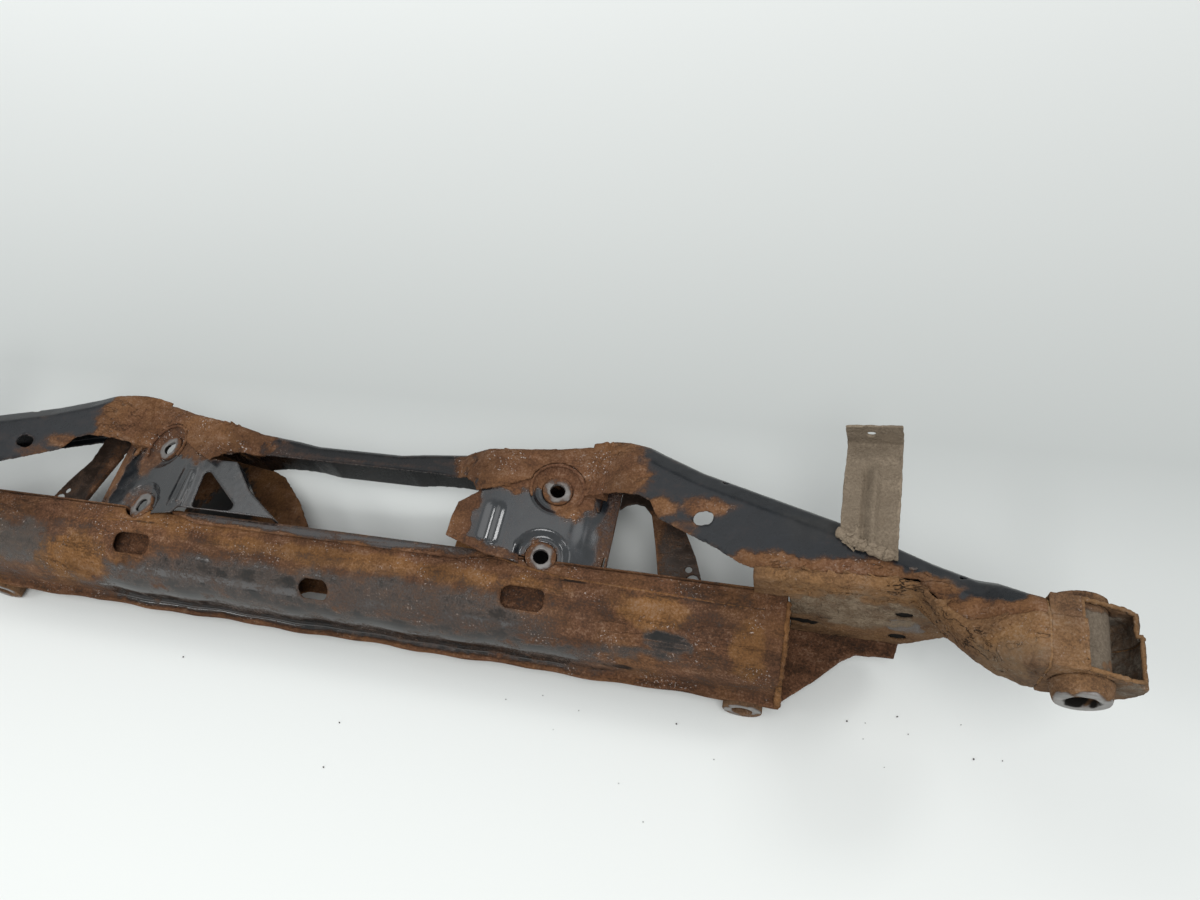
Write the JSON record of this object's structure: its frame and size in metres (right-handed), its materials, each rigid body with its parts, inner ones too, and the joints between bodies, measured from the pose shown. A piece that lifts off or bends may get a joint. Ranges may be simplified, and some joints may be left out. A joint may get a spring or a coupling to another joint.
{
  "type": "subframe",
  "caption": "Welded pressed-steel rear suspension crossmember: a box beam with an arched upper beam, dished pivot towers and swept arms to the body-mount sleeves.",
  "frame": {"origin": "under the middle of the part's box, on the surface it lies on", "axes": "+X to the part's right end, +Y the vehicle's up, +Z the vehicle's rear, which faces up as the part lies on its front face"},
  "size_m": [1.1994, 0.188, 0.1802],
  "materials": {
    "beam_rust": "worn black paint with broad matt rust",
    "plate_rust": "matt rust over black paint",
    "upper_paint": "satin black paint, rusted at both ends",
    "tower_paint": "satin blue-black paint",
    "gusset_rust": "dark brown rust",
    "bare_steel": "bare worn steel with rust round its edge",
    "upright_rust": "dark brown rust over black paint",
    "arm_paint": "satin blue-black paint with rust at the edges",
    "arm_rust": "heavy flaking rust",
    "bracket_mud": "dry grey-brown mud over steel"
  },
  "bodies": {
    "root": {"lower_beam_shell": "beam_rust", "lower_beam_front_plate": "plate_rust", "upper_beam": "upper_paint", "left_tower_plate": "tower_paint", "right_tower_plate": "tower_paint", "left_tower_gusset": "gusset_rust", "right_tower_gusset": "gusset_rust", "left_upper_pivot_boss": "bare_steel", "right_upper_pivot_boss": "bare_steel", "left_lower_pivot_boss": "bare_steel", "right_lower_pivot_boss": "bare_steel", "left_upright": "upright_rust", "right_upright": "upright_rust", "left_arm_upper_shell": "arm_paint", "right_arm_upper_shell": "arm_paint", "left_arm_lower_shell": "arm_rust", "right_arm_lower_shell": "arm_rust", "left_end_cap": "arm_rust", "right_end_cap": "arm_rust", "left_end_pan": "arm_rust", "right_end_pan": "arm_rust", "left_end_gusset": "plate_rust", "right_end_gusset": "plate_rust", "left_outer_mount_sleeve": "bare_steel", "right_outer_mount_sleeve": "bare_steel", "left_inner_mount_sleeve": "bare_steel", "right_inner_mount_sleeve": "bare_steel", "left_hose_bracket": "bracket_mud", "right_hose_bracket": "bracket_mud"}
  },
  "joints": []
}
